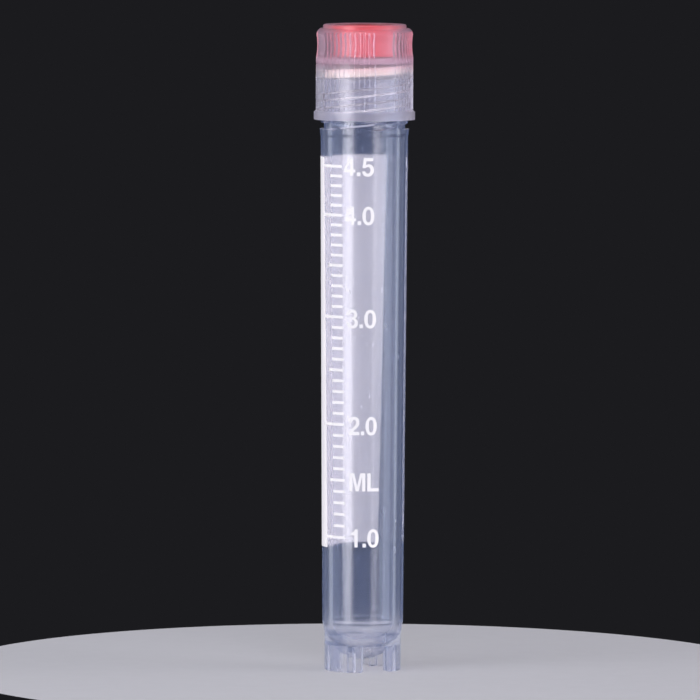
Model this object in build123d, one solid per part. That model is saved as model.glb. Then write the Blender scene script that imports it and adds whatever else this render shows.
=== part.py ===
"""Self-standing cryogenic sample tube of 5 mL with a screw cap, a silicone washer and a coloured cap insert.

Millimetres, +Z up, origin at the centre of the ring that the foot stands on. Angles are in degrees about +Z,
counted from the front, which is -Y, towards +X. The tube, its foot, collar and thread are one moulding.
"""

import os
from math import asin, cos, degrees, radians, sin, sqrt

from build123d import *

# Tube: foot
BODY_START = 7.0  # height at which the body begins and the round bottom is widest
SKIRT_R = 5.48
SKIRT_WALL = 0.70
SKIRT_TOP = 5.3  # the outside slopes out from here to the body
LEDGE_Z = 3.65  # ceiling of the ring-shaped hollow inside the skirt, and top of the notches
DOME_Z = 1.46  # lowest point of the round bottom
FLOOR_THICKNESS = 1.45
NOTCH_WIDTH = 3.60
NOTCH_ANGLES = (20, 200)
NOTCH_CORNER_R = 0.45
RIB_THICKNESS = 0.80
RIB_REACH = 1.25  # from the skirt's inner wall towards the axis
RIB_OFFSETS = (-42, 42, 90)  # from each notch

# Tube: body, collar and neck
BODY_BOTTOM_R = 5.80
BODY_TOP_R = 6.25
BODY_WALL = 1.45
BODY_LENGTH = 69.6
COLLAR_STEP = 0.11  # how far the collar stands out from the body
COLLAR_FLARE = 0.5
COLLAR_HEIGHT = 0.55
NECK_R = 5.80
NECK_WALL = 1.02
NECK_LENGTH = 7.25
RIM_ROUND = 0.22

# Thread, right-handed
STARTS = 2
LEAD = 4.06
THREAD_HEIGHT = 0.45
THREAD_ROOT_WIDTH = 1.10
THREAD_CREST_WIDTH = 0.60
THREAD_TOP_ANGLE = 17  # where the first start ends, counted from the front
THREAD_TOP_DROP = 0.72  # from the rim to the middle of that end
THREAD_GAP = 0.12  # between the cap's thread and the tube's, on every side
CAP_THREAD_END_GAP = 0.25  # from the cap's thread to the cap's lower edge and to the tube's rim

# Cap
CAP_STANDOFF = 1.35  # from the collar to the cap's lower edge
CAP_WALL = 0.71
FLANGE_STEP = 0.16
FLANGE_HEIGHT = 1.1
WAIST_STEP = 0.30
WAIST_DROP = 2.75  # from the cap's top down to the middle of the waist
WAIST_START = 5.3  # from the cap's top down to where the wall starts to draw in
LIP_STEP = 0.18
LIP_DROP = 1.45  # from the cap's top down to the lip above the waist
SHOULDER_DROP = 0.6  # from the cap's top down to the flat top that carries the rim
SHOULDER_WIDTH = 0.52
SHOULDER_BULGE = 0.12  # how far the shoulder swells past a straight slope
CAP_RIM_R = 5.95
CAP_RIM_ROUND = 0.25
PLATE_THICKNESS = 1.0
WELL_DEPTH = 4.7
GROOVE_DEPTH = 0.26
GROOVE_TOP_WIDTH = 0.56
GROOVE_FLOOR_WIDTH = 0.22
RIB_PITCH = 6.3  # degrees
RIBS_PER_GROUP = 10
RIB_GROUPS = 4
RIB_GROUP_ANGLE = -22.2
GRIP_START = 0.12  # from the flange up to the ribs
GRIP_END = 1.05  # from the cap's top down to the ribs

# Washer
SEAL_ROOM = 2.0  # from the tube's rim to the cap's plate
SEAL_THICKNESS = 1.15
SEAL_GAP = 0.10  # at the rim and at the plate
SEAL_OVERHANG = 0.10  # past the neck's outer wall
SEAL_WIDTH = 1.60

# Cap insert
INSERT_GAP = 0.06
INSERT_TOP_THICKNESS = 0.9
INSERT_WALL = 0.8
INSERT_R = 4.80
INSERT_SUNK = 0.25  # its top lies this far below the cap's rim
INSERT_DISH = 0.3
INSERT_DISH_R = 3.9

# Print on the body: a writing patch and a scale
INK = 0.05
PATCH_BOTTOM_Z = 17.8
PATCH_TOP_Z = 73.7
PATCH_BOTTOM_ANGLES = (-207, -60)
PATCH_TOP_ANGLES = (-221, -67)
SCALE_FIRST = 10  # in tenths of a millilitre
SCALE_LAST = 45
SCALE_FIRST_Z = 19.4
SCALE_RISE = 16.61  # height of the first millilitre above the first mark
SCALE_CURVE = -0.411  # the marks draw together as the bore widens
TICK_HEIGHT = 0.40
TICK_END_ANGLES = (-25.5, -31.0)  # of the lowest mark and of the highest: the print leans as it was rolled on
SHORT_TICK_ANGLE = 19.4
MEDIUM_TICK_ANGLE = 25.5
LONG_TICK_ANGLE = 35.5

SKIRT_BORE_R = SKIRT_R - SKIRT_WALL
COLLAR_R = BODY_TOP_R + COLLAR_STEP
BODY_END = BODY_START + BODY_LENGTH
COLLAR_TOP = BODY_END + COLLAR_FLARE + COLLAR_HEIGHT
RIM_Z = COLLAR_TOP + NECK_LENGTH
BORE_BOTTOM_R = BODY_BOTTOM_R - BODY_WALL
BORE_START = DOME_Z + FLOOR_THICKNESS + BORE_BOTTOM_R
BORE_TOP_R = NECK_R - NECK_WALL
DOME_R = BODY_START - DOME_Z
THREAD_R = NECK_R + THREAD_HEIGHT
THREAD_TOP = RIM_Z - THREAD_TOP_DROP

CAP_BORE_R = THREAD_R + THREAD_GAP
CAP_R = CAP_BORE_R + CAP_WALL
LINING_R = CAP_BORE_R + (CAP_WALL - GROOVE_DEPTH) / 2
CAP_BOTTOM = COLLAR_TOP + CAP_STANDOFF
PLATE_BOTTOM = RIM_Z + SEAL_ROOM
WELL_FLOOR = PLATE_BOTTOM + PLATE_THICKNESS
CAP_TOP = WELL_FLOOR + WELL_DEPTH
FLANGE_TOP = CAP_BOTTOM + FLANGE_HEIGHT
WELL_R = INSERT_R + INSERT_GAP


def at_angle(angle, radius, z=0.0):
    """The point at an angle counted from the front."""
    return (radius * sin(radians(angle)), -radius * cos(radians(angle)), z)


def turned(shape, angle):
    """The shape, drawn at the front, moved round to an angle counted from the front."""
    return Rot(0, 0, angle) * shape


def spun(outline, arc=360):
    """Turns an outline of (radius, height) edges about the tube's axis."""
    return revolve(Plane.XZ * make_face(outline), Axis.Z, arc)


def body_r(z):
    """The body's outer radius, which grows evenly from foot to collar."""
    return BODY_BOTTOM_R + (BODY_TOP_R - BODY_BOTTOM_R) * (z - BODY_START) / BODY_LENGTH


def shell_of_tube():
    """Body, collar, neck, bore and round bottom, down to the ledge under the body."""
    ledge_angle = degrees(asin((LEDGE_Z - BODY_START) / DOME_R))
    dome_edge = sqrt(DOME_R**2 - (BODY_START - LEDGE_Z) ** 2)
    outside = Polyline(
        (dome_edge, LEDGE_Z),
        (SKIRT_R, LEDGE_Z),
        (SKIRT_R, SKIRT_TOP),
        (BODY_BOTTOM_R, BODY_START),
        (BODY_TOP_R, BODY_END),
        (COLLAR_R, BODY_END + COLLAR_FLARE),
        (COLLAR_R, COLLAR_TOP),
        (NECK_R, COLLAR_TOP),
        (NECK_R, RIM_Z),
        (BORE_TOP_R, RIM_Z),
        (BORE_BOTTOM_R, BORE_START),
    )
    bore_end = CenterArc((0, BORE_START), BORE_BOTTOM_R, 0, -90)
    axis = Line((0, BORE_START - BORE_BOTTOM_R), (0, DOME_Z))
    dome = CenterArc((0, BODY_START), DOME_R, -90, 90 + ledge_angle)
    tube = spun([outside, bore_end, axis, dome])
    rim = tube.edges().filter_by(GeomType.CIRCLE).group_by(Axis.Z)[-1]
    return fillet(rim, RIM_ROUND)


def foot_skirt():
    """The ring that the tube stands on, with a notch on each side and rounded corners beside each."""
    ring = Cylinder(SKIRT_R, LEDGE_Z, align=(Align.CENTER, Align.CENTER, Align.MIN))
    ring -= Cylinder(SKIRT_BORE_R, LEDGE_Z, align=(Align.CENTER, Align.CENTER, Align.MIN))
    for angle in NOTCH_ANGLES:
        notch = Pos(0, -SKIRT_R, LEDGE_Z / 2) * Box(NOTCH_WIDTH, SKIRT_R, LEDGE_Z)
        ring -= turned(notch, angle)
    feet = ring.edges().filter_by(GeomType.LINE).group_by(Axis.Z)[0]
    return fillet(feet, NOTCH_CORNER_R)


def foot_ribs():
    """Radial ribs that tie the skirt to the round bottom."""
    ribs = Part()
    length = RIB_REACH + SKIRT_WALL / 2
    middle = SKIRT_BORE_R - RIB_REACH + length / 2
    for notch in NOTCH_ANGLES:
        for offset in RIB_OFFSETS:
            rib = Pos(0, -middle, LEDGE_Z / 2) * Box(RIB_THICKNESS, length, LEDGE_Z)
            ribs += turned(rib, notch + offset)
    return ribs


def ridge(root_r, root_width, crest_r, crest_width, low, high, angle, sink):
    """One helical ridge. low and high are the heights of its middle at its two ends, and angle is where it
    ends at the top. Its root reaches sink further than root_r, so that it joins its wall."""
    turn = (high - low) / LEAD * 360
    path = Helix(LEAD, high - low, root_r)
    root = root_width / 2
    crest = crest_width / 2
    foot = root_r + sink
    upper = [(crest_r, crest), (root_r, root), (foot, root)]
    outline = Polyline((foot, -root), (root_r, -root), (crest_r, -crest), *upper, close=True)
    section = Plane.XZ * make_face(outline)
    swept = sweep(section, path, is_frenet=True)
    return Pos(0, 0, low) * turned(Rot(0, 0, 90) * swept, angle - turn - 180)


def thread_turn(height):
    """Where the middle of the tube's first ridge passes a height."""
    return THREAD_TOP_ANGLE + (height - THREAD_TOP) / LEAD * 360


def tube():
    """The whole moulding. Its ridges run out of the collar and stop a little below the rim."""
    body = shell_of_tube() + foot_skirt() + foot_ribs()
    low = COLLAR_TOP - THREAD_ROOT_WIDTH / 2
    sink = -NECK_WALL / 3
    for start in range(STARTS):
        angle = thread_turn(THREAD_TOP) + 360 * start / STARTS
        body += ridge(NECK_R, THREAD_ROOT_WIDTH, THREAD_R, THREAD_CREST_WIDTH, low, THREAD_TOP, angle, sink)
    return body


def cap_profile(inset):
    """The cap's outer line from the flange's top to the flat top that carries the rim, moved in by inset."""
    low = (CAP_R - inset, FLANGE_TOP)
    waist_start = (CAP_R - inset, CAP_TOP - WAIST_START)
    waist = (CAP_R - WAIST_STEP - inset, CAP_TOP - WAIST_DROP)
    lip = (CAP_R - LIP_STEP - inset, CAP_TOP - LIP_DROP)
    flat = (lip[0] - SHOULDER_WIDTH, CAP_TOP - SHOULDER_DROP)
    wall = Line(low, waist_start)
    hollow = ThreePointArc(waist_start, waist, lip)
    shoulder = SagittaArc(lip, flat, -SHOULDER_BULGE)
    return [wall, hollow, shoulder], low, flat


def cap_sector():
    """The part of the plain cap that carries one group of ribs, its middle at the front: skirt, flange,
    waist, rim, plate and the well for the insert."""
    line, low, flat = cap_profile(0)
    flange_r = CAP_R + FLANGE_STEP
    rim = Polyline(flat, (CAP_RIM_R, flat[1]), (CAP_RIM_R, CAP_TOP - CAP_RIM_ROUND))
    rim_round = CenterArc((CAP_RIM_R - CAP_RIM_ROUND, CAP_TOP - CAP_RIM_ROUND), CAP_RIM_ROUND, 0, 90)
    inside = Polyline(
        (CAP_RIM_R - CAP_RIM_ROUND, CAP_TOP),
        (WELL_R, CAP_TOP),
        (WELL_R, WELL_FLOOR),
        (0, WELL_FLOOR),
        (0, PLATE_BOTTOM),
        (LINING_R, PLATE_BOTTOM),
        (LINING_R, CAP_BOTTOM),
        (flange_r, CAP_BOTTOM),
        (flange_r, FLANGE_TOP),
        low,
    )
    arc = 360 / RIB_GROUPS
    return Rot(0, 0, -90 - arc / 2) * spun([*line, rim, rim_round, inside], arc)


def grip_groove():
    """What is cut away between two grip ribs, at the front. Its floor follows the cap's outer line."""
    line, low, flat = cap_profile(GROOVE_DEPTH)
    far = CAP_R + FLANGE_STEP
    arc = 3 * RIB_PITCH
    outside = Polyline(flat, (far, flat[1]), (far, low[1]), low)
    skin = Rot(0, 0, -90 - arc / 2) * spun([*line, outside], arc)
    start = FLANGE_TOP + GRIP_START
    reach = GROOVE_DEPTH + WAIST_STEP
    inner = GROOVE_FLOOR_WIDTH / 2
    outer = inner + (GROOVE_TOP_WIDTH - GROOVE_FLOOR_WIDTH) / 2 / GROOVE_DEPTH * (reach + FLANGE_STEP)
    floor = reach - CAP_R
    outline = Polyline((-inner, floor), (inner, floor), (outer, -far), (-outer, -far), close=True)
    return skin & Pos(0, 0, start) * extrude(make_face(outline), CAP_TOP - GRIP_END - start)


def skirt_lining():
    """The inner half of the skirt's wall, with the cap's ridges. They fill the tube's grooves with a gap all
    round, so they stay clear at every turn."""
    height = PLATE_BOTTOM - CAP_BOTTOM
    upright = (Align.CENTER, Align.CENTER, Align.MIN)
    lining = Cylinder(LINING_R, height, align=upright) - Cylinder(CAP_BORE_R, height, align=upright)
    lining = Pos(0, 0, CAP_BOTTOM) * lining
    crest = LEAD / STARTS - THREAD_ROOT_WIDTH - 2 * THREAD_GAP
    crest_r = NECK_R + THREAD_GAP
    root = crest + (THREAD_ROOT_WIDTH - THREAD_CREST_WIDTH) / THREAD_HEIGHT * (CAP_BORE_R - crest_r)
    low = CAP_BOTTOM + CAP_THREAD_END_GAP + root / 2
    high = RIM_Z - CAP_THREAD_END_GAP - root / 2
    sink = (LINING_R - CAP_BORE_R) / 2
    for start in range(STARTS):
        angle = thread_turn(high) + 360 * (start + 0.5) / STARTS
        lining += ridge(CAP_BORE_R, root, crest_r, crest, low, high, angle, sink)
    return lining


def cap():
    """The screw cap, one moulding: a sector with its ribs, repeated round the axis, and the lining. They meet
    face to face, so they are glued."""
    groove = grip_groove()
    grooves = [turned(groove, (rib - RIBS_PER_GROUP / 2) * RIB_PITCH) for rib in range(RIBS_PER_GROUP + 1)]
    sector = cap_sector() - grooves
    angles = [RIB_GROUP_ANGLE + 360 * group / RIB_GROUPS for group in range(RIB_GROUPS)]
    first, *others = [turned(sector, angle) for angle in angles]
    return first.fuse(*others, glue=True).fuse(skirt_lining(), glue=True)


def washer():
    """A flat silicone ring that lies tilted in its room, its edges just clear of the rim and the plate."""
    radius = NECK_R + SEAL_OVERHANG
    ring = Cylinder(radius, SEAL_THICKNESS) - Cylinder(radius - SEAL_WIDTH, SEAL_THICKNESS)
    tilt = degrees(asin((SEAL_ROOM / 2 - SEAL_GAP - SEAL_THICKNESS / 2) / radius))
    return Pos(0, 0, RIM_Z + SEAL_ROOM / 2) * Rot(0, -tilt, 0) * ring


def insert():
    """The coloured plug in the cap's well: a cup with its mouth down and a dished top."""
    top = CAP_TOP - INSERT_SUNK
    bottom = WELL_FLOOR + INSERT_GAP
    inner = INSERT_R - INSERT_WALL
    under = top - INSERT_TOP_THICKNESS
    sides = Polyline(
        (INSERT_DISH_R, top),
        (INSERT_R, top),
        (INSERT_R, bottom),
        (inner, bottom),
        (inner, under),
        (0, under),
        (0, top - INSERT_DISH),
    )
    dish_r = (INSERT_DISH_R**2 + INSERT_DISH**2) / (2 * INSERT_DISH)
    half = degrees(asin(INSERT_DISH_R / dish_r))
    dish = CenterArc((0, top - INSERT_DISH + dish_r), dish_r, -90, half)
    return spun([sides, dish])


def ink_ring(low, high, arc=360):
    """A skin of ink round the body between two heights."""
    corners = [(body_r(low), low), (body_r(low) + INK, low), (body_r(high) + INK, high), (body_r(high), high)]
    return spun([Polyline(*corners, close=True)], arc)


def fan(angles, z):
    """A flat face from the axis out past the body, between two angles, for cutting a patch out of a ring."""
    first, last = angles
    far = 2 * BODY_TOP_R
    corners = [at_angle(first + (last - first) * step / 3, far, z) for step in range(4)]
    return make_face(Polyline((0, 0, z), *corners, close=True))


def writing_patch():
    """The white field for handwriting, round the left and the back. Its upright edges lean a little."""
    wedge = loft([fan(PATCH_BOTTOM_ANGLES, PATCH_BOTTOM_Z), fan(PATCH_TOP_ANGLES, PATCH_TOP_Z)], ruled=True)
    return ink_ring(PATCH_BOTTOM_Z, PATCH_TOP_Z) & wedge


def mark_z(tenth):
    """The height of a scale mark."""
    volume = (tenth - SCALE_FIRST) / 10
    return SCALE_FIRST_Z + SCALE_RISE * volume + SCALE_CURVE * volume**2


def scale_marks():
    """A mark for each tenth of a millilitre: long at whole numbers and at the top, medium at the halves."""
    marks = []
    first_end, last_end = TICK_END_ANGLES
    scale_height = mark_z(SCALE_LAST) - SCALE_FIRST_Z
    for tenth in range(SCALE_FIRST, SCALE_LAST + 1):
        if tenth % 10 == 0 or tenth == SCALE_LAST:
            arc = LONG_TICK_ANGLE
        else:
            arc = SHORT_TICK_ANGLE if tenth % 5 else MEDIUM_TICK_ANGLE
        z = mark_z(tenth)
        end = first_end + (last_end - first_end) * (z - SCALE_FIRST_Z) / scale_height
        mark = ink_ring(z - TICK_HEIGHT / 2, z + TICK_HEIGHT / 2, arc)
        marks.append(Rot(0, 0, end - arc - 90) * mark)
    return Compound(marks)


PARTS = {
    "tube": tube,
    "cap": cap,
    "washer": washer,
    "cap_insert": insert,
    "writing_patch": writing_patch,
    "scale_marks": scale_marks,
}


if __name__ == "__main__":
    os.makedirs("parts", exist_ok=True)
    for name, make in PARTS.items():
        export_step(make(), f"parts/{name}.step")
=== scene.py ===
"""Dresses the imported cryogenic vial: translucent mouldings, screen-printed scale and patch, washer, insert and studio.

It is laid out as an add-on and run as a script. Lengths in the settings are metres. Angles round the tube are
counted from the front, which is -Y, towards +X.
"""

from math import atan2, cos, hypot, pi, radians, sin, tan

import bmesh
import bpy
from mathutils import Matrix, Vector


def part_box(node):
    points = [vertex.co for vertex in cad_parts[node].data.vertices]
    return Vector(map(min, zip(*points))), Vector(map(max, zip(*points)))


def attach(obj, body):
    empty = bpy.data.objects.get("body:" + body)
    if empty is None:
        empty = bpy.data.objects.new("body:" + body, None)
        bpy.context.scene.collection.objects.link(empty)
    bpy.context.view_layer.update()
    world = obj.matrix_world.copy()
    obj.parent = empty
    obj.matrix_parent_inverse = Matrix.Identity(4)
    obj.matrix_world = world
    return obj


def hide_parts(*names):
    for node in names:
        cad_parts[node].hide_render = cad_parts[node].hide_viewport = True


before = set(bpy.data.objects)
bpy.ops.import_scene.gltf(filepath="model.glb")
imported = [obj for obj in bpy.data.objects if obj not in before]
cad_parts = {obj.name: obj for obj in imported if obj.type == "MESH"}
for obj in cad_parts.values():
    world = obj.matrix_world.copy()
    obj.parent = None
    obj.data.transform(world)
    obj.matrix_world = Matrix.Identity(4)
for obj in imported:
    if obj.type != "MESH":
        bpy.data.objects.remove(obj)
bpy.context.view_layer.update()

bl_info = {
    "name": "Cryogenic vial",
    "version": (1, 0, 0),
    "blender": (4, 5, 0),
    "location": "3D View > Sidebar > Vial",
    "description": "Dresses the packed cryogenic vial and sets up its studio",
    "category": "Object",
}

MM = 0.001
MERGE = 0.001 * MM  # points closer than this are one

# The tube's body, which the print is wrapped round
BODY_START = 7.0 * MM
BODY_END = 76.6 * MM
BODY_BOTTOM_R = 5.80 * MM
BODY_TOP_R = 6.25 * MM
WRAP_STEP = 2.5  # degrees between the slices of a flat print
INK_MIDDLE = 0.025 * MM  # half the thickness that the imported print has
INK_STEP = 0.9 * MM  # the longest straight edge that still follows the wall

# The middle of the plate that closes the cap above the washer, inside its skin
CORE_BOTTOM = 86.98 * MM
CORE_TOP = 87.82 * MM
CORE_R = 6.10 * MM
CORE_BEVEL = 0.2 * MM
CORE_SEGMENTS = 96

# Roughness of each part of the mouldings, and the two heights between which one finish gives way to the next
BODY_ROUGHNESS = 0.12
FOOT_ROUGHNESS = 0.18
FOOT_EDGE = (6.4 * MM, 8.0 * MM)
CAP_ROUGHNESS = 0.34
SKIRT_ROUGHNESS = 0.26
SKIRT_EDGE = (84.5 * MM, 86.5 * MM)
FLANGE_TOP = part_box("cap")[0][2] + 1.1 * MM
FLANGE_EDGE = (FLANGE_TOP, FLANGE_TOP + 0.3 * MM)
ROUGHNESS_SPREAD = 0.15  # how far it strays either way over the skin

# The two heights between which the insert's light, painted into the cap's colour as a glow, sets in, first in the cap's
# wall and then in its rim
PAINTED_GLOW_EDGE = (85.5 * MM, 87.5 * MM)
PAINTED_RIM_GLOW_EDGE = (91.3 * MM, 92.3 * MM)

# Bold sans-serif glyphs on a grid where a digit is 710 high: how far each moves the pen on, and its closed outlines.
# A point with a third member is a corner, and the outline runs smoothly through the others.
DIGIT_GRID = 710
GLYPH_MERGE = 0.1
GLYPH_STEPS = 5  # pieces that each curved stretch is drawn in
C = "corner"
GLYPHS = {
    "0": (556, [
        [(16, 355), (276, -14), (536, 355), (276, 719)],
        [(171, 355), (276, 102), (381, 355), (276, 604)],
    ]),
    "1": (556, [
        [(236, 0, C), (378, 0, C), (378, 709, C), (262, 709, C), (205, 612), (78, 575, C), (78, 472, C), (236, 472, C)],
    ]),
    "2": (556, [[
        (28, 0, C), (515, 0, C), (515, 128, C), (222, 128, C), (290, 195), (425, 300), (500, 400), (517, 500),
        (455, 660), (285, 719), (105, 655), (38, 465, C), (175, 465, C), (205, 570), (280, 605), (350, 575),
        (372, 495), (345, 410), (240, 310), (90, 180), (35, 70),
    ]]),
    "3": (556, [[
        (168, 208, C), (28, 208, C), (92, 45), (272, -14), (455, 45), (523, 205), (485, 322), (400, 380, C),
        (470, 432), (497, 530), (430, 672), (270, 719), (105, 655), (45, 500, C), (172, 500, C), (200, 585),
        (268, 612), (335, 588), (357, 522), (335, 455), (225, 428, C), (225, 330, C), (285, 328), (355, 295),
        (378, 212), (350, 130), (272, 98), (195, 130),
    ]]),
    "4": (556, [
        [
            (305, 0, C), (440, 0, C), (440, 147, C), (525, 147, C), (525, 262, C), (440, 262, C), (440, 709, C),
            (290, 709, C), (22, 275, C), (22, 147, C), (305, 147, C),
        ],
        [(305, 262, C), (130, 262, C), (305, 545, C)],
    ]),
    "5": (556, [[
        (28, 190, C), (95, 40), (270, -14), (455, 60), (530, 235), (465, 405), (310, 470), (195, 430, C),
        (215, 585, C), (492, 585, C), (492, 709, C), (108, 709, C), (52, 318, C), (178, 318, C), (272, 362),
        (355, 328), (385, 235), (352, 138), (272, 103), (200, 130), (170, 190, C),
    ]]),
    ".": (220, [[(34, 0, C), (186, 0, C), (186, 150, C), (34, 150, C)]]),
    "M": (773, [[
        (70, 0, C), (206, 0, C), (206, 590, C), (350, 0, C), (483, 0, C), (627, 590, C), (627, 0, C), (763, 0, C),
        (763, 709, C), (548, 709, C), (417, 205, C), (285, 709, C), (70, 709, C),
    ]]),
    "L": (611, [[(77, 0, C), (583, 0, C), (583, 125, C), (225, 125, C), (225, 709, C), (77, 709, C)]]),
}

# Numerals: text, height of its middle, and the angles that it spans
NUMERALS = (
    ("4.5", 72.47 * MM, -27.8, 12.7),
    ("4.0", 65.50 * MM, -26.3, 13.6),
    ("3.0", 50.77 * MM, -23.5, 16.8),
    ("2.0", 35.45 * MM, -20.5, 18.6),
    ("ML", 27.40 * MM, -19.4, 21.9),
    ("1.0", 19.36 * MM, -17.1, 22.4),
)

# Softboxes: name, setting that holds its brightness, angle round the vial, distance, width, height, height of its
# middle, colour, and whether gloss and clear plastic show it. The washes light only haze and matt surfaces.
NEUTRAL = (1.0, 0.975, 1.02)
COOL = (0.86, 0.94, 1.12)
WARM = (1.08, 0.95, 0.99)
SOFTBOXES = (
    ("key_softbox", "key_level", -46, 0.60, 0.29, 0.30, 0.08, NEUTRAL, True),
    ("fill_softbox", "fill_level", 70, 0.60, 0.23, 0.30, 0.05, COOL, True),
    ("front_softbox", "front_level", 40, 0.60, 0.23, 0.30, 0.14, NEUTRAL, True),
    ("right_panel", "panel_level", 88, 0.60, 1.20, 0.30, 0.05, COOL, True),
    ("left_panel", "left_panel_level", -105, 0.60, 0.84, 0.30, 0.05, COOL, True),
    ("top_softbox", "top_level", -25, 0.225, 0.50, 0.16, 0.353, NEUTRAL, True),
    ("right_wash", "right_wash_level", 80, 0.60, 0.40, 0.40, 0.17, WARM, False),
    ("left_wash", "left_wash_level", -65, 0.60, 0.40, 0.40, 0.17, WARM, False),
    ("back_wash", "back_wash_level", 180, 0.60, 0.40, 0.40, 0.08, NEUTRAL, False),
)
LAMP_AIM = 46.0 * MM
ROOM_COLOR = (0.92, 0.95, 1.0)

FLOOR_SEGMENTS = 128
FLOOR_DROP = 0.02 * MM  # keeps the floor clear of the foot's lower edge

CAMERA_AIM = Vector((-1.95 * MM, 0, 45.9 * MM))
CAMERA_ROLL = radians(0.2)
SENSOR_WIDTH = 36.0

# A Mix node's sockets for colour: the first and second input and the result
MIX_A = 6
MIX_B = 7
MIX_RESULT = 2


# ---------------------------------------------------------------- settings


class VialPlasticSettings(bpy.types.PropertyGroup):
    """Finish of the mouldings."""

    tube_color: bpy.props.FloatVectorProperty(
        name="Tube colour", description="Tint of the natural polypropylene tube", subtype="COLOR",
        default=(0.90, 0.89, 0.89), min=0, max=1,
    )
    tube_clarity: bpy.props.FloatProperty(
        name="Tube clarity", description="Share of light that the tube's wall lets through", subtype="FACTOR",
        default=0.987, min=0, max=1,
    )
    cap_color: bpy.props.FloatVectorProperty(
        name="Cap colour", description="Tint of the natural polypropylene cap", subtype="COLOR",
        default=(0.90, 0.885, 0.915), min=0, max=1,
    )
    cap_clarity: bpy.props.FloatProperty(
        name="Cap clarity", description="Share of light that the cap's wall lets through", subtype="FACTOR",
        default=0.95, min=0, max=1,
    )
    # Painted glow: the insert's red light scattered into the cap, painted into the cap's base colour
    glow_color: bpy.props.FloatVectorProperty(
        name="Glow colour", description="Tint that the insert gives the cap round it", subtype="COLOR",
        default=(0.96, 0.70, 0.79), min=0, max=1,
    )
    # Painted glow: the insert's light in the cap's thin top rim, painted into the rim's base colour
    rim_color: bpy.props.FloatVectorProperty(
        name="Rim colour", description="Tint that the insert gives the cap's thin top rim", subtype="COLOR",
        default=(1.0, 0.50, 0.52), min=0, max=1,
    )
    tube_haze_color: bpy.props.FloatVectorProperty(
        name="Tube haze colour", description="Light that the milky tube scatters back", subtype="COLOR",
        default=(0.29, 0.47, 1.0), min=0, max=1,
    )
    cap_haze_color: bpy.props.FloatVectorProperty(
        name="Cap haze colour", description="Light that the milky cap scatters back", subtype="COLOR",
        default=(0.76, 0.70, 1.0), min=0, max=1,
    )
    # Milky plate whose pink is the insert's light, painted into its colour as a glow
    plate_milk_and_painted_glow_color: bpy.props.FloatVectorProperty(
        name="Plate colour", description="Milky middle of the cap's thick plate, tinted by the insert above it",
        subtype="COLOR", default=(0.39, 0.30, 0.355), min=0, max=1,
    )
    tube_haze: bpy.props.FloatProperty(
        name="Tube haze", description="How milky the tube is", subtype="FACTOR", default=0.10, min=0, max=1,
    )
    cap_haze: bpy.props.FloatProperty(
        name="Cap haze", description="How milky the cap is", subtype="FACTOR", default=0.07, min=0, max=1,
    )
    washer_color: bpy.props.FloatVectorProperty(
        name="Washer colour", description="Silicone washer between rim and cap", subtype="COLOR",
        default=(0.74, 0.62, 0.54), min=0, max=1,
    )
    insert_color: bpy.props.FloatVectorProperty(
        name="Insert colour", description="Colour-code plug in the cap's top", subtype="COLOR",
        default=(0.56, 0.025, 0.028), min=0, max=1,
    )


class VialPrintSettings(bpy.types.PropertyGroup):
    """The white print on the tube."""

    ink_color: bpy.props.FloatVectorProperty(
        name="Ink colour", description="Screen-printing ink", subtype="COLOR",
        default=(0.89, 0.885, 0.90), min=0, max=1,
    )
    digit_height: bpy.props.FloatProperty(
        name="Digit height", description="Height of the numerals", unit="LENGTH", default=2.60 * MM,
    )
    ink_sink: bpy.props.FloatProperty(
        name="Ink sink", description="How far the ink reaches into the wall, so that no air lies under it",
        unit="LENGTH", default=0.03 * MM,
    )
    ink_proud: bpy.props.FloatProperty(
        name="Ink proud", description="How far the ink stands out of the wall", unit="LENGTH", default=0.03 * MM,
    )


class VialStudioSettings(bpy.types.PropertyGroup):
    """Floor, backdrop, lamps and camera."""

    floor_color: bpy.props.FloatVectorProperty(
        name="Floor colour", description="Pale table top", subtype="COLOR", default=(0.50, 0.51, 0.54), min=0, max=1,
    )
    backdrop_color: bpy.props.FloatVectorProperty(
        name="Backdrop colour", description="What is seen behind and through the vial", subtype="COLOR",
        default=(0.011, 0.011, 0.013), min=0, max=1,
    )
    room_level: bpy.props.FloatProperty(
        name="Room level", description="Even light from all round", default=0.30, min=0,
    )
    key_level: bpy.props.FloatProperty(
        name="Key level", description="Brightness of the tall softbox on the left", default=4.8, min=0,
    )
    fill_level: bpy.props.FloatProperty(
        name="Fill level", description="Brightness of the softbox on the right", default=2.3, min=0,
    )
    front_level: bpy.props.FloatProperty(
        name="Front level", description="Brightness of the softbox at the front right", default=1.1, min=0,
    )
    panel_level: bpy.props.FloatProperty(
        name="Panel level", description="Brightness of the wide reflector on the right", default=0.42, min=0,
    )
    left_panel_level: bpy.props.FloatProperty(
        name="Left panel level", description="Brightness of the reflector behind the left edge", default=0.35, min=0,
    )
    top_level: bpy.props.FloatProperty(
        name="Top level", description="Brightness of the near softbox above", default=4.0, min=0,
    )
    right_wash_level: bpy.props.FloatProperty(
        name="Right wash level", description="Soft light on matt surfaces from the right", default=5.6, min=0,
    )
    left_wash_level: bpy.props.FloatProperty(
        name="Left wash level", description="Soft light on matt surfaces from the left", default=1.4, min=0,
    )
    back_wash_level: bpy.props.FloatProperty(
        name="Back wash level", description="Soft light on matt surfaces from behind", default=1.5, min=0,
    )
    floor_radius: bpy.props.FloatProperty(
        name="Floor radius", description="Radius of the round table top", unit="LENGTH", default=0.06,
    )
    camera_distance: bpy.props.FloatProperty(
        name="Camera distance", description="From the lens to the vial's axis", unit="LENGTH", default=1.18,
    )
    camera_elevation: bpy.props.FloatProperty(
        name="Camera elevation", description="How steeply the camera looks down", unit="ROTATION",
        default=radians(4.3),
    )
    frame_height: bpy.props.FloatProperty(
        name="Frame height", description="What the picture's height takes in at the vial", unit="LENGTH",
        default=100.3 * MM,
    )


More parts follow.
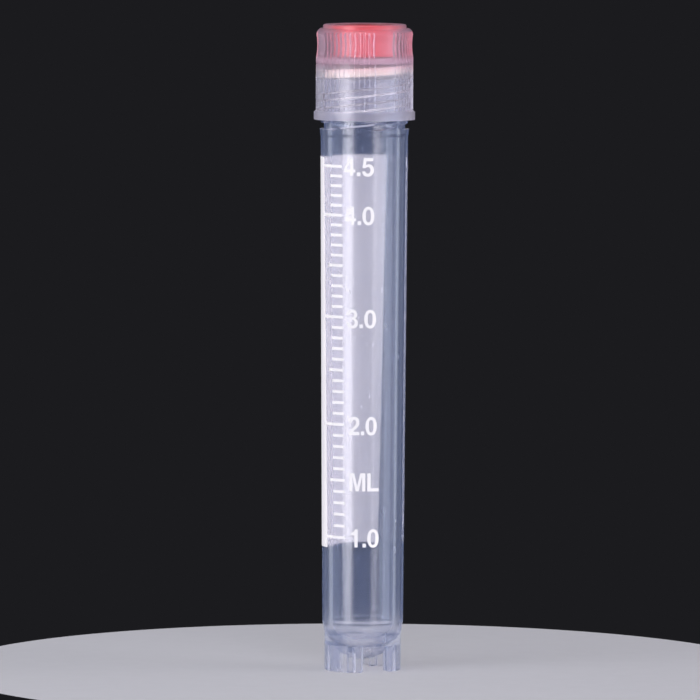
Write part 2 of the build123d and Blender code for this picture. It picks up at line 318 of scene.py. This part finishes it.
SETTINGS = {
    "vial_plastic": VialPlasticSettings,
    "vial_print": VialPrintSettings,
    "vial_studio": VialStudioSettings,
}


# ---------------------------------------------------------------- meshes


def body_r(z):
    """The body's outer radius at a height."""
    share = (z - BODY_START) / (BODY_END - BODY_START)
    return BODY_BOTTOM_R + (BODY_TOP_R - BODY_BOTTOM_R) * share


def new_piece(name, bm, body, material):
    """A finished mesh becomes a piece that rides on a body."""
    mesh = bpy.data.meshes.new(name)
    bm.to_mesh(mesh)
    bm.free()
    mesh.materials.append(material)
    piece = bpy.data.objects.new(name, mesh)
    bpy.context.scene.collection.objects.link(piece)
    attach(piece, body)
    return piece


def ink_on(node, sink, proud):
    """A printed node's form as ink: its inner side reaches a little into the wall and its outer side stands proud."""
    bm = bmesh.new()
    bm.from_mesh(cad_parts[node].data)
    bmesh.ops.remove_doubles(bm, verts=bm.verts, dist=MERGE)
    outer = bm.verts.layers.float.new("outer")
    for vert in bm.verts:
        vert[outer] = float(hypot(vert.co.x, vert.co.y) > body_r(vert.co.z) + INK_MIDDLE)
    wide = [edge for edge in bm.edges if edge.calc_length() > INK_STEP]
    bmesh.ops.subdivide_edges(bm, edges=wide, cuts=2, use_grid_fill=True)
    for vert in bm.verts:
        wanted = body_r(vert.co.z) - sink + (sink + proud) * vert[outer]
        stretch = wanted / hypot(vert.co.x, vert.co.y)
        vert.co.x *= stretch
        vert.co.y *= stretch
    return bm


def flat_text(text):
    """A word as a flat mesh in the XZ plane, its black one unit wide and its digits one unit high."""
    curve = bpy.data.curves.new("numeral", "CURVE")
    curve.dimensions = "2D"
    curve.fill_mode = "BOTH"
    curve.resolution_u = GLYPH_STEPS
    pen = 0
    for letter in text:
        advance, outlines = GLYPHS[letter]
        for outline in outlines:
            spline = curve.splines.new("BEZIER")
            spline.bezier_points.add(len(outline) - 1)
            spline.use_cyclic_u = True
            for point, (x, y, *corner) in zip(spline.bezier_points, outline):
                point.co = (pen + x, y, 0)
                point.handle_left_type = point.handle_right_type = "VECTOR" if corner else "AUTO"
        pen += advance
    holder = bpy.data.objects.new("numeral", curve)
    bpy.context.scene.collection.objects.link(holder)
    bpy.context.view_layer.update()
    mesh = bpy.data.meshes.new_from_object(holder)
    bpy.data.objects.remove(holder)
    bm = bmesh.new()
    bm.from_mesh(mesh)
    bpy.data.meshes.remove(mesh)
    bmesh.ops.remove_doubles(bm, verts=bm.verts, dist=GLYPH_MERGE)
    left = min(vert.co.x for vert in bm.verts)
    right = max(vert.co.x for vert in bm.verts)
    bmesh.ops.translate(bm, verts=bm.verts, vec=(-left, 0, 0))
    bmesh.ops.scale(bm, verts=bm.verts, vec=(1 / (right - left), 1 / DIGIT_GRID, 1))
    bmesh.ops.rotate(bm, verts=bm.verts, matrix=Matrix.Rotation(radians(90), 3, "X"))
    return bm


def wrap(bm, first, last, bottom, height, sink, proud):
    """Bends a flat print of one unit by one unit round the body, and gives it the ink's thickness."""
    steps = int((last - first) / WRAP_STEP)
    for step in range(1, steps):
        everything = [*bm.verts, *bm.edges, *bm.faces]
        bmesh.ops.bisect_plane(bm, geom=everything, plane_co=(step / steps, 0, 0), plane_no=(1, 0, 0))
    for vert in bm.verts:
        angle = radians(first + (last - first) * vert.co.x)
        z = bottom + height * vert.co.z
        radius = body_r(z) - sink
        vert.co = (radius * sin(angle), -radius * cos(angle), z)
    grown = bmesh.ops.extrude_face_region(bm, geom=bm.faces[:], use_keep_orig=True)["geom"]
    for vert in (item for item in grown if isinstance(item, bmesh.types.BMVert)):
        stretch = (body_r(vert.co.z) + proud) / hypot(vert.co.x, vert.co.y)
        vert.co.x *= stretch
        vert.co.y *= stretch
    bmesh.ops.recalc_face_normals(bm, faces=bm.faces)
    return bm


# ---------------------------------------------------------------- materials


def add(tree, kind, values=None, **settings):
    """A node with its inputs set or linked by name, and its own settings."""
    node = tree.nodes.new(kind)
    for key, value in settings.items():
        setattr(node, key, value)
    for key, value in (values or {}).items():
        socket = node.inputs[key]
        if isinstance(value, bpy.types.NodeSocket):
            tree.links.new(value, socket)
        else:
            socket.default_value = value
    return node


def new_group(name, inputs, outputs):
    """An empty shader node group. inputs maps a socket's name to its default, outputs to its kind."""
    group = bpy.data.node_groups.new(name, "ShaderNodeTree")
    for key, default in inputs.items():
        socket = group.interface.new_socket(key, in_out="INPUT", socket_type="NodeSocketFloat")
        socket.default_value = default
    for key, kind in outputs.items():
        group.interface.new_socket(key, in_out="OUTPUT", socket_type=kind)
    return group, group.nodes.new("NodeGroupInput").outputs, group.nodes.new("NodeGroupOutput").inputs


def object_noise(tree, scale, stretch=(1, 1, 1), detail=2.0, rough=0.5):
    """Noise on the piece's own coordinates. scale is in features a metre."""
    coords = add(tree, "ShaderNodeTexCoord").outputs["Object"]
    mapped = add(tree, "ShaderNodeMapping", {"Vector": coords, "Scale": stretch}).outputs["Vector"]
    noise = add(tree, "ShaderNodeTexNoise", {"Vector": mapped, "Detail": detail, "Roughness": rough})
    if isinstance(scale, bpy.types.NodeSocket):
        tree.links.new(scale, noise.inputs["Scale"])
    else:
        noise.inputs["Scale"].default_value = scale
    return noise.outputs["Fac"]


def masked(tree, value, low, high, **settings):
    """From 0 to 1 as a value goes from low to high."""
    given = {"Value": value, "From Min": low, "From Max": high}
    return add(tree, "ShaderNodeMapRange", given, **settings).outputs["Result"]


def moulded_group():
    """Faint flow lines along the tube and the fine grain of a moulded skin."""
    group, given, out = new_group(
        "Moulded skin",
        {"Flow scale": 900.0, "Grain scale": 9000.0, "Grain share": 0.25},
        {"Height": "NodeSocketFloat", "Mask": "NodeSocketFloat"},
    )
    flow = object_noise(group, given["Flow scale"], (1, 1, 0.06), 3.0)
    grain = object_noise(group, given["Grain scale"], (1, 1, 1), 2.0)
    mixed = add(group, "ShaderNodeMix", {"Factor": given["Grain share"], "A": flow, "B": grain}, data_type="FLOAT")
    group.links.new(mixed.outputs["Result"], out["Height"])
    group.links.new(flow, out["Mask"])
    return group


def scuff_group():
    """Sparse short scuffs from handling, as a mask."""
    group, given, out = new_group(
        "Handling scuffs", {"Scale": 1500.0, "Amount": 0.3}, {"Mask": "NodeSocketFloat"}
    )
    long = object_noise(group, given["Scale"], (1, 1, 0.15), 4.0, 0.65)
    patches = object_noise(group, 120.0, (1, 1, 1), 2.0)
    lines = masked(group, long, 0.62, 0.72, interpolation_type="SMOOTHSTEP")
    where = masked(group, patches, 0.45, 0.65)
    both = add(group, "ShaderNodeMath", {0: lines, 1: where}, operation="MULTIPLY").outputs[0]
    scaled = add(group, "ShaderNodeMath", {0: both, 1: given["Amount"]}, operation="MULTIPLY").outputs[0]
    group.links.new(scaled, out["Mask"])
    return group


def place_group(tree, name, make, values):
    """A shared effect inside a material, with that material's own values. It is made the first time it is placed."""
    node = tree.nodes.new("ShaderNodeGroup")
    node.node_tree = bpy.data.node_groups.get(name) or make()
    for key, value in values.items():
        node.inputs[key].default_value = value
    return node.outputs


def new_material(name, constants):
    """A material with one Principled shader, its constants set on the shader's own sockets."""
    material = bpy.data.materials.new(name)
    material.use_nodes = True
    tree = material.node_tree
    shader = tree.nodes["Principled BSDF"]
    for key, value in constants.items():
        shader.inputs[key].default_value = value
    return material, tree, shader


def mottled(tree, color, other, mask):
    """A colour that drifts to another where the mask is high."""
    mix = add(tree, "ShaderNodeMix", {"Factor": mask}, data_type="RGBA")
    mix.inputs[MIX_A].default_value = (*color, 1)
    mix.inputs[MIX_B].default_value = (*other, 1)
    return mix.outputs[MIX_RESULT]


def ranged(tree, value, low, high):
    """A value from 0 to 1, moved into a range."""
    return add(tree, "ShaderNodeMapRange", {"Value": value, "To Min": low, "To Max": high}).outputs["Result"]


def height_mask(tree, low, high):
    """From 0 to 1 between two heights."""
    height = add(tree, "ShaderNodeSeparateXYZ", {0: add(tree, "ShaderNodeTexCoord").outputs["Object"]}).outputs["Z"]
    return masked(tree, height, low, high, interpolation_type="SMOOTHSTEP")


def skin_finish(tree, shader, skin, scuffs, roughness, bump, zones=()):
    """Roughness and relief of a moulded skin, with its scuffs. Each zone is the roughness of the moulding's lower
    part, and the two heights between which it gives way to the one before."""
    rough = ranged(tree, skin["Mask"], roughness * (1 - ROUGHNESS_SPREAD), roughness * (1 + ROUGHNESS_SPREAD))
    for zone, edge in zones:
        mask = height_mask(tree, *edge)
        rough = add(tree, "ShaderNodeMix", {"Factor": mask, "A": zone, "B": rough}, data_type="FLOAT").outputs[0]
    scuffed = add(tree, "ShaderNodeMath", {0: rough, 1: scuffs["Mask"]}, operation="ADD").outputs[0]
    tree.links.new(scuffed, shader.inputs["Roughness"])
    relief = add(tree, "ShaderNodeBump", {"Strength": 1.0, "Distance": bump, "Height": skin["Height"]})
    tree.links.new(relief.outputs["Normal"], shader.inputs["Normal"])


def plastic(name, color, clarity, haze, haze_color, roughness, bump, flow_scale, painted_glows=(), zones=()):
    """Natural polypropylene: clear but milky, with flow lines, fine grain and a few scuffs. Each painted glow is
    the colour of light that a neighbour scatters into it, painted into the base colour, and the two heights
    between which it sets in. Zones are as in skin_finish."""
    material, tree, shader = new_material(
        name,
        {
            "IOR": 1.49,
            "Transmission Weight": clarity,
            "Specular IOR Level": 0.5,
            "Sheen Weight": haze,
            "Sheen Roughness": 1.0,
            "Sheen Tint": (*haze_color, 1),
        },
    )
    skin = place_group(tree, "Moulded skin", moulded_group, {"Flow scale": flow_scale})
    scuffs = place_group(tree, "Handling scuffs", scuff_group, {"Amount": 0.5})
    pale = [min(1, c * 1.08) for c in color]
    deep = [c * 0.94 for c in color]
    tone = mottled(tree, pale, deep, skin["Mask"])
    # Painted glow: light from a neighbour, painted into the base colour between two heights
    for glow_color, edge in painted_glows:
        mix = add(tree, "ShaderNodeMix", {"Factor": height_mask(tree, *edge)}, data_type="RGBA")
        tree.links.new(tone, mix.inputs[MIX_A])
        mix.inputs[MIX_B].default_value = (*glow_color, 1)
        tone = mix.outputs[MIX_RESULT]
    tree.links.new(tone, shader.inputs["Base Color"])
    skin_finish(tree, shader, skin, scuffs, roughness, bump, zones)
    let_lamps_through(tree, shader, color)
    return material


def let_lamps_through(tree, shader, color):
    """Lamps reach what lies behind the plastic, tinted by it."""
    rays = add(tree, "ShaderNodeLightPath").outputs
    clear = add(tree, "ShaderNodeBsdfTransparent", {"Color": (*[c * 0.97 for c in color], 1)})
    mix = add(tree, "ShaderNodeMixShader", {0: rays["Is Shadow Ray"], 1: shader.outputs[0], 2: clear.outputs[0]})
    tree.links.new(mix.outputs[0], tree.nodes["Material Output"].inputs["Surface"])


def solid_plastic(name, color, roughness, bump, glow=0.0, reach=(1.0 * MM, 1.0 * MM, 1.0 * MM)):
    """A solid-coloured moulding. glow is how much of its light scatters under the skin, and reach is how far red,
    green and blue light go there."""
    material, tree, shader = new_material(
        name,
        {"Subsurface Weight": glow, "Subsurface Radius": reach, "Subsurface Scale": 1.0, "IOR": 1.45},
    )
    skin = place_group(tree, "Moulded skin", moulded_group, {"Flow scale": 1400.0, "Grain share": 0.6})
    scuffs = place_group(tree, "Handling scuffs", scuff_group, {"Amount": 0.4})
    pale = [min(1, c * 1.06 + 0.01) for c in color]
    deep = [c * 0.92 for c in color]
    tree.links.new(mottled(tree, pale, deep, skin["Mask"]), shader.inputs["Base Color"])
    skin_finish(tree, shader, skin, scuffs, roughness, bump)
    return material


def ink_material(color):
    """Screen-printing ink: matt, nearly even, with the mesh's faint grain."""
    found = bpy.data.materials.get("Screen ink")
    if found:
        return found
    material, tree, shader = new_material("Screen ink", {"Specular IOR Level": 0.4})
    grain = object_noise(tree, 4000.0, (1, 1, 1), 3.0)
    cloud = object_noise(tree, 350.0, (1, 1, 0.5), 3.0)
    tree.links.new(mottled(tree, color, [c * 0.90 for c in color], cloud), shader.inputs["Base Color"])
    tree.links.new(ranged(tree, grain, 0.42, 0.62), shader.inputs["Roughness"])
    relief = add(tree, "ShaderNodeBump", {"Strength": 0.6, "Distance": 0.01 * MM, "Height": grain})
    tree.links.new(relief.outputs["Normal"], shader.inputs["Normal"])
    return material


def dress(node, material):
    """Gives a CAD node its finish."""
    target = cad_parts[node]
    target.data.materials.clear()
    target.data.materials.append(material)


# ---------------------------------------------------------------- operators


class VIAL_OT_tube(bpy.types.Operator):
    """Finish the tube as natural polypropylene"""

    bl_idname = "vial.tube"
    bl_label = "Tube"

    def execute(self, context):
        wanted = context.scene.vial_plastic
        finish = plastic(
            "Tube polypropylene", wanted.tube_color, wanted.tube_clarity, wanted.tube_haze, wanted.tube_haze_color,
            roughness=BODY_ROUGHNESS, bump=0.003 * MM, flow_scale=900.0, zones=((FOOT_ROUGHNESS, FOOT_EDGE),),
        )
        dress("tube", finish)
        return {"FINISHED"}


class VIAL_OT_cap(bpy.types.Operator):
    """Finish the screw cap as hazier polypropylene"""

    bl_idname = "vial.cap"
    bl_label = "Cap"

    def execute(self, context):
        wanted = context.scene.vial_plastic
        finish = plastic(
            "Cap polypropylene", wanted.cap_color, wanted.cap_clarity, wanted.cap_haze, wanted.cap_haze_color,
            roughness=CAP_ROUGHNESS, bump=0.003 * MM, flow_scale=1100.0,
            # The insert's light in the cap's wall and rim is painted into its colour as glows
            painted_glows=((wanted.glow_color, PAINTED_GLOW_EDGE), (wanted.rim_color, PAINTED_RIM_GLOW_EDGE)),
            zones=((SKIRT_ROUGHNESS, SKIRT_EDGE), (CAP_ROUGHNESS, FLANGE_EDGE)),
        )
        dress("cap", finish)
        return {"FINISHED"}


class VIAL_OT_plate_core(bpy.types.Operator):
    """Set the milky middle into the cap's thick plate, its pink a painted glow of the insert's light"""

    bl_idname = "vial.plate_core"
    bl_label = "Plate core"

    def execute(self, context):
        color = context.scene.vial_plastic.plate_milk_and_painted_glow_color
        bm = bmesh.new()
        bmesh.ops.create_cone(
            bm, cap_ends=True, segments=CORE_SEGMENTS, radius1=CORE_R, radius2=CORE_R, depth=CORE_TOP - CORE_BOTTOM
        )
        bmesh.ops.translate(bm, verts=bm.verts, vec=(0, 0, (CORE_TOP + CORE_BOTTOM) / 2))
        rims = [edge for edge in bm.edges if abs(edge.verts[0].co.z - edge.verts[1].co.z) < MERGE]
        bmesh.ops.bevel(bm, geom=rims, offset=CORE_BEVEL, segments=3, profile=0.5, affect="EDGES", material=-1)
        # The core's milky tone is the plate's own, and its pink is painted glow from the insert
        finish = solid_plastic("Milky core", color, roughness=0.6, bump=0.005 * MM)
        new_piece("plate_core", bm, "cap", finish)
        return {"FINISHED"}


class VIAL_OT_washer(bpy.types.Operator):
    """Finish the washer as cream silicone"""

    bl_idname = "vial.washer"
    bl_label = "Washer"

    def execute(self, context):
        color = context.scene.vial_plastic.washer_color
        finish = solid_plastic(
            "Silicone", color, roughness=0.45, bump=0.01 * MM, glow=0.3, reach=(1.0 * MM, 0.8 * MM, 0.6 * MM)
        )
        dress("washer", finish)
        return {"FINISHED"}


class VIAL_OT_insert(bpy.types.Operator):
    """Finish the colour-code insert"""

    bl_idname = "vial.insert"
    bl_label = "Cap insert"

    def execute(self, context):
        color = context.scene.vial_plastic.insert_color
        finish = solid_plastic(
            "Insert plastic", color, roughness=0.40, bump=0.01 * MM, glow=0.25, reach=(1.0 * MM, 0.3 * MM, 0.3 * MM)
        )
        dress("cap_insert", finish)
        return {"FINISHED"}


class VIAL_OT_writing_patch(bpy.types.Operator):
    """Print the writing patch"""

    bl_idname = "vial.writing_patch"
    bl_label = "Writing patch"

    def execute(self, context):
        wanted = context.scene.vial_print
        bm = ink_on("writing_patch", wanted.ink_sink, wanted.ink_proud)
        patch = new_piece("patch_ink", bm, "tube", ink_material(wanted.ink_color))
        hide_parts("writing_patch")
        return {"FINISHED"}


class VIAL_OT_scale_marks(bpy.types.Operator):
    """Print the scale's marks"""

    bl_idname = "vial.scale_marks"
    bl_label = "Scale marks"

    def execute(self, context):
        wanted = context.scene.vial_print
        bm = ink_on("scale_marks", wanted.ink_sink, wanted.ink_proud)
        marks = new_piece("scale_ink", bm, "tube", ink_material(wanted.ink_color))
        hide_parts("scale_marks")
        return {"FINISHED"}


class VIAL_OT_numerals(bpy.types.Operator):
    """Print the numerals and the unit beside the scale"""

    bl_idname = "vial.numerals"
    bl_label = "Numerals"

    def execute(self, context):
        wanted = context.scene.vial_print
        for text, middle, first, last in NUMERALS:
            bottom = middle - wanted.digit_height / 2
            bm = wrap(flat_text(text), first, last, bottom, wanted.digit_height, wanted.ink_sink, wanted.ink_proud)
            name = "numeral_" + text.replace(".", "_")
            new_piece(name, bm, "tube", ink_material(wanted.ink_color))
        return {"FINISHED"}


def softbox(name, angle, distance, width, height, middle, color, seen, level):
    """A soft rectangular lamp that faces the vial. level is its surface's brightness, where 1 is white."""
    lamp = bpy.data.lights.new(name, "AREA")
    lamp.shape = "RECTANGLE"
    lamp.size = width
    lamp.size_y = height
    lamp.energy = level * width * height * pi
    lamp.color = color
    holder = bpy.data.objects.new(name, lamp)
    bpy.context.scene.collection.objects.link(holder)
    place = Vector((distance * sin(radians(angle)), -distance * cos(radians(angle)), middle))
    holder.location = place
    holder.rotation_euler = (Vector((0, 0, LAMP_AIM)) - place).to_track_quat("-Z", "Y").to_euler()
    holder.visible_camera = False
    holder.visible_glossy = seen
    holder.visible_transmission = seen


class VIAL_OT_studio(bpy.types.Operator):
    """Set up the pale floor, dark backdrop, soft lamps and camera"""

    bl_idname = "vial.studio"
    bl_label = "Studio"

    def execute(self, context):
        wanted = context.scene.vial_studio
        self.floor(wanted)
        self.world(wanted)
        for name, setting, *shape in SOFTBOXES:
            softbox(name, *shape, getattr(wanted, setting))
        self.camera(wanted)
        context.scene.view_settings.view_transform = "Standard"
        return {"FINISHED"}

    def floor(self, wanted):
        bm = bmesh.new()
        bmesh.ops.create_circle(bm, cap_ends=True, radius=wanted.floor_radius, segments=FLOOR_SEGMENTS)
        bmesh.ops.translate(bm, verts=bm.verts, vec=(0, 0, -FLOOR_DROP))
        mesh = bpy.data.meshes.new("floor")
        bm.to_mesh(mesh)
        bm.free()
        material, tree, shader = new_material("Floor paper", {"Specular IOR Level": 0.2})
        grain = object_noise(tree, 300.0, (1, 1, 1), 4.0)
        color = mottled(tree, wanted.floor_color, [c * 0.96 for c in wanted.floor_color], grain)
        tree.links.new(color, shader.inputs["Base Color"])
        tree.links.new(ranged(tree, grain, 0.6, 0.75), shader.inputs["Roughness"])
        mesh.materials.append(material)
        floor = bpy.data.objects.new("floor", mesh)
        bpy.context.scene.collection.objects.link(floor)

    def world(self, wanted):
        world = bpy.data.worlds.new("Studio")
        bpy.context.scene.world = world
        world.use_nodes = True
        tree = world.node_tree
        tree.nodes.clear()
        rays = add(tree, "ShaderNodeLightPath").outputs
        seen = add(tree, "ShaderNodeMath", {0: rays["Is Camera Ray"], 1: rays["Is Glossy Ray"]}, operation="MAXIMUM")
        seen = add(tree, "ShaderNodeMath", {0: seen.outputs[0], 1: rays["Is Transmission Ray"]}, operation="MAXIMUM")
        first = add(tree, "ShaderNodeMath", {0: rays["Diffuse Depth"], 1: 0.5}, operation="LESS_THAN")
        seen = add(tree, "ShaderNodeMath", {0: seen.outputs[0], 1: first.outputs[0]}, operation="MULTIPLY")
        room = add(tree, "ShaderNodeBackground", {"Color": (*ROOM_COLOR, 1), "Strength": wanted.room_level})
        backdrop = add(tree, "ShaderNodeBackground", {"Color": (*wanted.backdrop_color, 1), "Strength": 1.0})
        mix = add(tree, "ShaderNodeMixShader", {0: seen.outputs[0], 1: room.outputs[0], 2: backdrop.outputs[0]})
        add(tree, "ShaderNodeOutputWorld", {"Surface": mix.outputs[0]})

    def camera(self, wanted):
        data = bpy.data.cameras.new("camera")
        camera = bpy.data.objects.new("camera", data)
        bpy.context.scene.collection.objects.link(camera)
        elevation = wanted.camera_elevation
        back = Vector((0, -cos(elevation), sin(elevation)))
        half_angle = atan2(wanted.frame_height / 2, wanted.camera_distance)
        data.sensor_width = SENSOR_WIDTH
        data.lens = SENSOR_WIDTH / 2 / tan(half_angle)
        data.clip_start = 0.01
        data.clip_end = 20.0
        camera.location = CAMERA_AIM + back * wanted.camera_distance
        turn = (-back).to_track_quat("-Z", "Y") @ Matrix.Rotation(CAMERA_ROLL, 3, "Z").to_quaternion()
        camera.rotation_euler = turn.to_euler()
        bpy.context.scene.camera = camera


OPERATORS = (
    VIAL_OT_tube,
    VIAL_OT_cap,
    VIAL_OT_plate_core,
    VIAL_OT_washer,
    VIAL_OT_insert,
    VIAL_OT_writing_patch,
    VIAL_OT_scale_marks,
    VIAL_OT_numerals,
    VIAL_OT_studio,
)


class VIAL_PT_panel(bpy.types.Panel):
    """Lists the vial's settings and pieces"""

    bl_idname = "VIAL_PT_panel"
    bl_label = "Cryogenic vial"
    bl_space_type = "VIEW_3D"
    bl_region_type = "UI"
    bl_category = "Vial"

    def draw(self, context):
        for name, settings in SETTINGS.items():
            box = self.layout.box()
            for prop in settings.__annotations__:
                box.prop(getattr(context.scene, name), prop)
        for operator in OPERATORS:
            self.layout.operator(operator.bl_idname)


def register():
    for name, settings in SETTINGS.items():
        bpy.utils.register_class(settings)
        setattr(bpy.types.Scene, name, bpy.props.PointerProperty(type=settings))
    for cls in (*OPERATORS, VIAL_PT_panel):
        bpy.utils.register_class(cls)


def unregister():
    for cls in (VIAL_PT_panel, *reversed(OPERATORS)):
        bpy.utils.unregister_class(cls)
    for name, settings in SETTINGS.items():
        delattr(bpy.types.Scene, name)
        bpy.utils.unregister_class(settings)


def main():
    """Makes every piece in order."""
    register()
    for operator in OPERATORS:
        group, name = operator.bl_idname.split(".")
        getattr(getattr(bpy.ops, group), name)()


if __name__ == "__main__":
    main()
